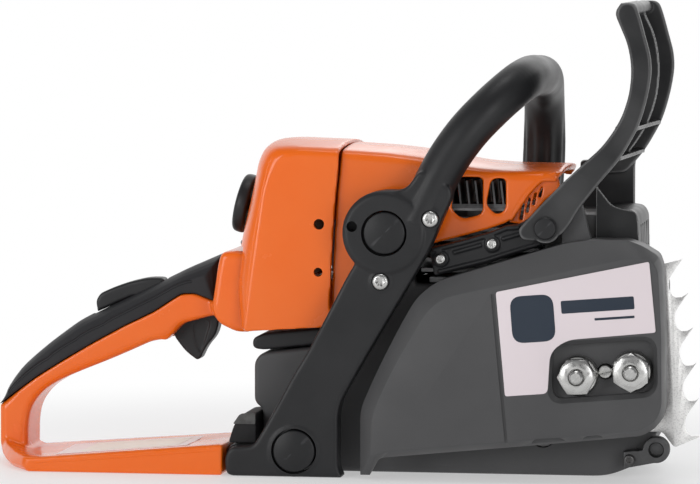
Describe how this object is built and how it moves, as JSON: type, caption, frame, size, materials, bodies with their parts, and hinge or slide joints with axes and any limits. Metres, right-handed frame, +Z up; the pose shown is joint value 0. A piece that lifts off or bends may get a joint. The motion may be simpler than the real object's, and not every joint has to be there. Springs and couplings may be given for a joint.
{
  "type": "chainsaw power head",
  "caption": "Petrol chainsaw power head without bar or chain: rear handle with trigger, wraparound handlebar, tilting hand guard, sprocket cover and bumper spikes.",
  "frame": {"origin": "middle of the bounding box's bottom face, on the ground the saw stands on", "axes": "+X forward, the way the guide bar would point; +Y to the saw's left, the starter side; +Z up"},
  "size_m": [0.421, 0.2006, 0.2756],
  "materials": {
    "orange_shell": "glossy",
    "grey_housing": "satin",
    "grey_cover": "satin",
    "black_moulding": "satin",
    "soft_grip": "matt",
    "rubber_parts": "matt",
    "cast_alloy": "cast",
    "bright_steel": "bright",
    "dark_steel": "dark",
    "label_film": "satin",
    "filter_felt": "matt",
    "rope_fibre": "matt"
  },
  "bodies": {
    "chassis": {"engine_housing": "grey_housing", "bearing_right": "bright_steel", "bearing_left": "bright_steel", "cylinder": "cast_alloy", "piston": "cast_alloy", "spark_plug": "bright_steel", "spark_plug_boot": "rubber_parts", "brake_band": "bright_steel", "side_plate": "bright_steel", "bar_stud_1": "bright_steel", "bar_stud_2": "bright_steel", "bar_nut_1": "bright_steel", "bar_nut_2": "bright_steel", "spiked_bumper": "bright_steel", "chain_catcher": "dark_steel", "oil_pump": "dark_steel", "ignition_module": "black_moulding", "sprocket_cover": "grey_cover", "side_label": "label_film", "top_shroud": "orange_shell", "filter_cover": "orange_shell", "tank_handle": "orange_shell", "handle_grip": "soft_grip", "intake_manifold": "rubber_parts", "carburettor": "cast_alloy", "air_filter": "filter_felt", "muffler": "dark_steel", "muffler_guard": "dark_steel", "guard_pivot_right": "bright_steel", "guard_pivot_left": "bright_steel", "brake_carrier": "black_moulding", "carrier_screw_1": "bright_steel", "carrier_screw_2": "bright_steel", "handlebar": "black_moulding", "av_plug_upper": "black_moulding", "av_plug_lower": "black_moulding", "av_buffer_upper": "rubber_parts", "av_buffer_lower": "rubber_parts", "av_buffer_left": "rubber_parts", "frame_screw_1": "bright_steel", "frame_screw_2": "bright_steel", "rear_stop": "rubber_parts", "starter_cover": "grey_cover", "recoil_spring": "bright_steel", "starter_rope": "rope_fibre"},
    "crank": {"crankshaft": "bright_steel", "flywheel": "cast_alloy", "clutch_hub": "dark_steel"},
    "drum": {"clutch_drum": "bright_steel"},
    "guard": {"hand_guard": "black_moulding"},
    "trigger": {"throttle_trigger": "black_moulding"},
    "lockout": {"throttle_lockout": "black_moulding"},
    "cover_lock": {"twist_lock": "black_moulding"},
    "choke_lever": {"control_lever": "black_moulding"},
    "fuel_filler": {"fuel_cap": "black_moulding"},
    "oil_filler": {"oil_cap": "black_moulding"},
    "pulley": {"starter_pulley": "black_moulding"},
    "pull_grip": {"starter_grip": "black_moulding"},
    "tension_screw": {"tensioner_screw": "dark_steel"},
    "tension_pin": {"tensioner_slider": "dark_steel"}
  },
  "joints": [
    {"name": "crank_spin", "type": "hinge", "parent": "chassis", "child": "crank", "pos_m": [0.0805, -0.0132, 0.058], "axis": [0, 1, 0], "continuous": true},
    {"name": "drum_spin", "type": "hinge", "parent": "chassis", "child": "drum", "pos_m": [0.0805, -0.0432, 0.058], "axis": [0, 1, 0], "continuous": true},
    {"name": "guard_tilt", "type": "hinge", "parent": "chassis", "child": "guard", "pos_m": [0.1225, -0.0132, 0.146], "axis": [0, 1, 0], "range_deg": [0, 20]},
    {"name": "trigger_squeeze", "type": "hinge", "parent": "chassis", "child": "trigger", "pos_m": [-0.0815, -0.0162, 0.09], "axis": [0, 1, 0], "range_deg": [0, 16], "stiffness_Nm_per_rad": 0.6, "springref_deg": -14.32},
    {"name": "lockout_press", "type": "hinge", "parent": "chassis", "child": "lockout", "pos_m": [-0.1145, -0.0162, 0.1], "axis": [0, -1, 0], "range_deg": [0, 10], "stiffness_Nm_per_rad": 0.5, "springref_deg": -14.32},
    {"name": "cover_lock_turn", "type": "hinge", "parent": "chassis", "child": "cover_lock", "pos_m": [-0.0585, -0.0182, 0.154], "axis": [-0.9713, 0, 0.2377], "range_deg": [0, 90]},
    {"name": "choke_lever_swing", "type": "hinge", "parent": "chassis", "child": "choke_lever", "pos_m": [-0.0635, 0.0318, 0.112], "axis": [0, 1, 0], "range_deg": [-12, 24]},
    {"name": "fuel_cap_turn", "type": "hinge", "parent": "chassis", "child": "fuel_filler", "pos_m": [-0.0275, 0.0318, 0.1], "axis": [0, 1, 0], "range_deg": [0, 90]},
    {"name": "oil_cap_turn", "type": "hinge", "parent": "chassis", "child": "oil_filler", "pos_m": [0.1565, 0.0348, 0.03], "axis": [0, 1, 0], "range_deg": [0, 90]},
    {"name": "pulley_spin", "type": "hinge", "parent": "chassis", "child": "pulley", "pos_m": [0.0805, 0.0448, 0.058], "axis": [0, 1, 0], "range_deg": [-1440, 0]},
    {"name": "grip_pull", "type": "slide", "parent": "chassis", "child": "pull_grip", "axis": [0, 0, 1], "range_m": [0, 0.6], "stiffness_N_per_m": 25, "springref_m": -0.3, "deforming": ["starter_rope"]},
    {"name": "tension_screw_turn", "type": "hinge", "parent": "chassis", "child": "tension_screw", "pos_m": [0.158, -0.0732, 0.0645], "axis": [0, -1, 0], "range_deg": [-2710, 4510]},
    {"name": "tension_pin_slide", "type": "slide", "parent": "chassis", "child": "tension_pin", "axis": [1, 0, 0], "range_m": [-0.006, 0.01]}
  ],
  "couplings": [
    {"joint": "pulley_spin", "follows": "grip_pull", "rad_per_m": -41.667},
    {"joint": "tension_screw_turn", "follows": "tension_pin_slide", "rad_per_m": 7854}
  ]
}
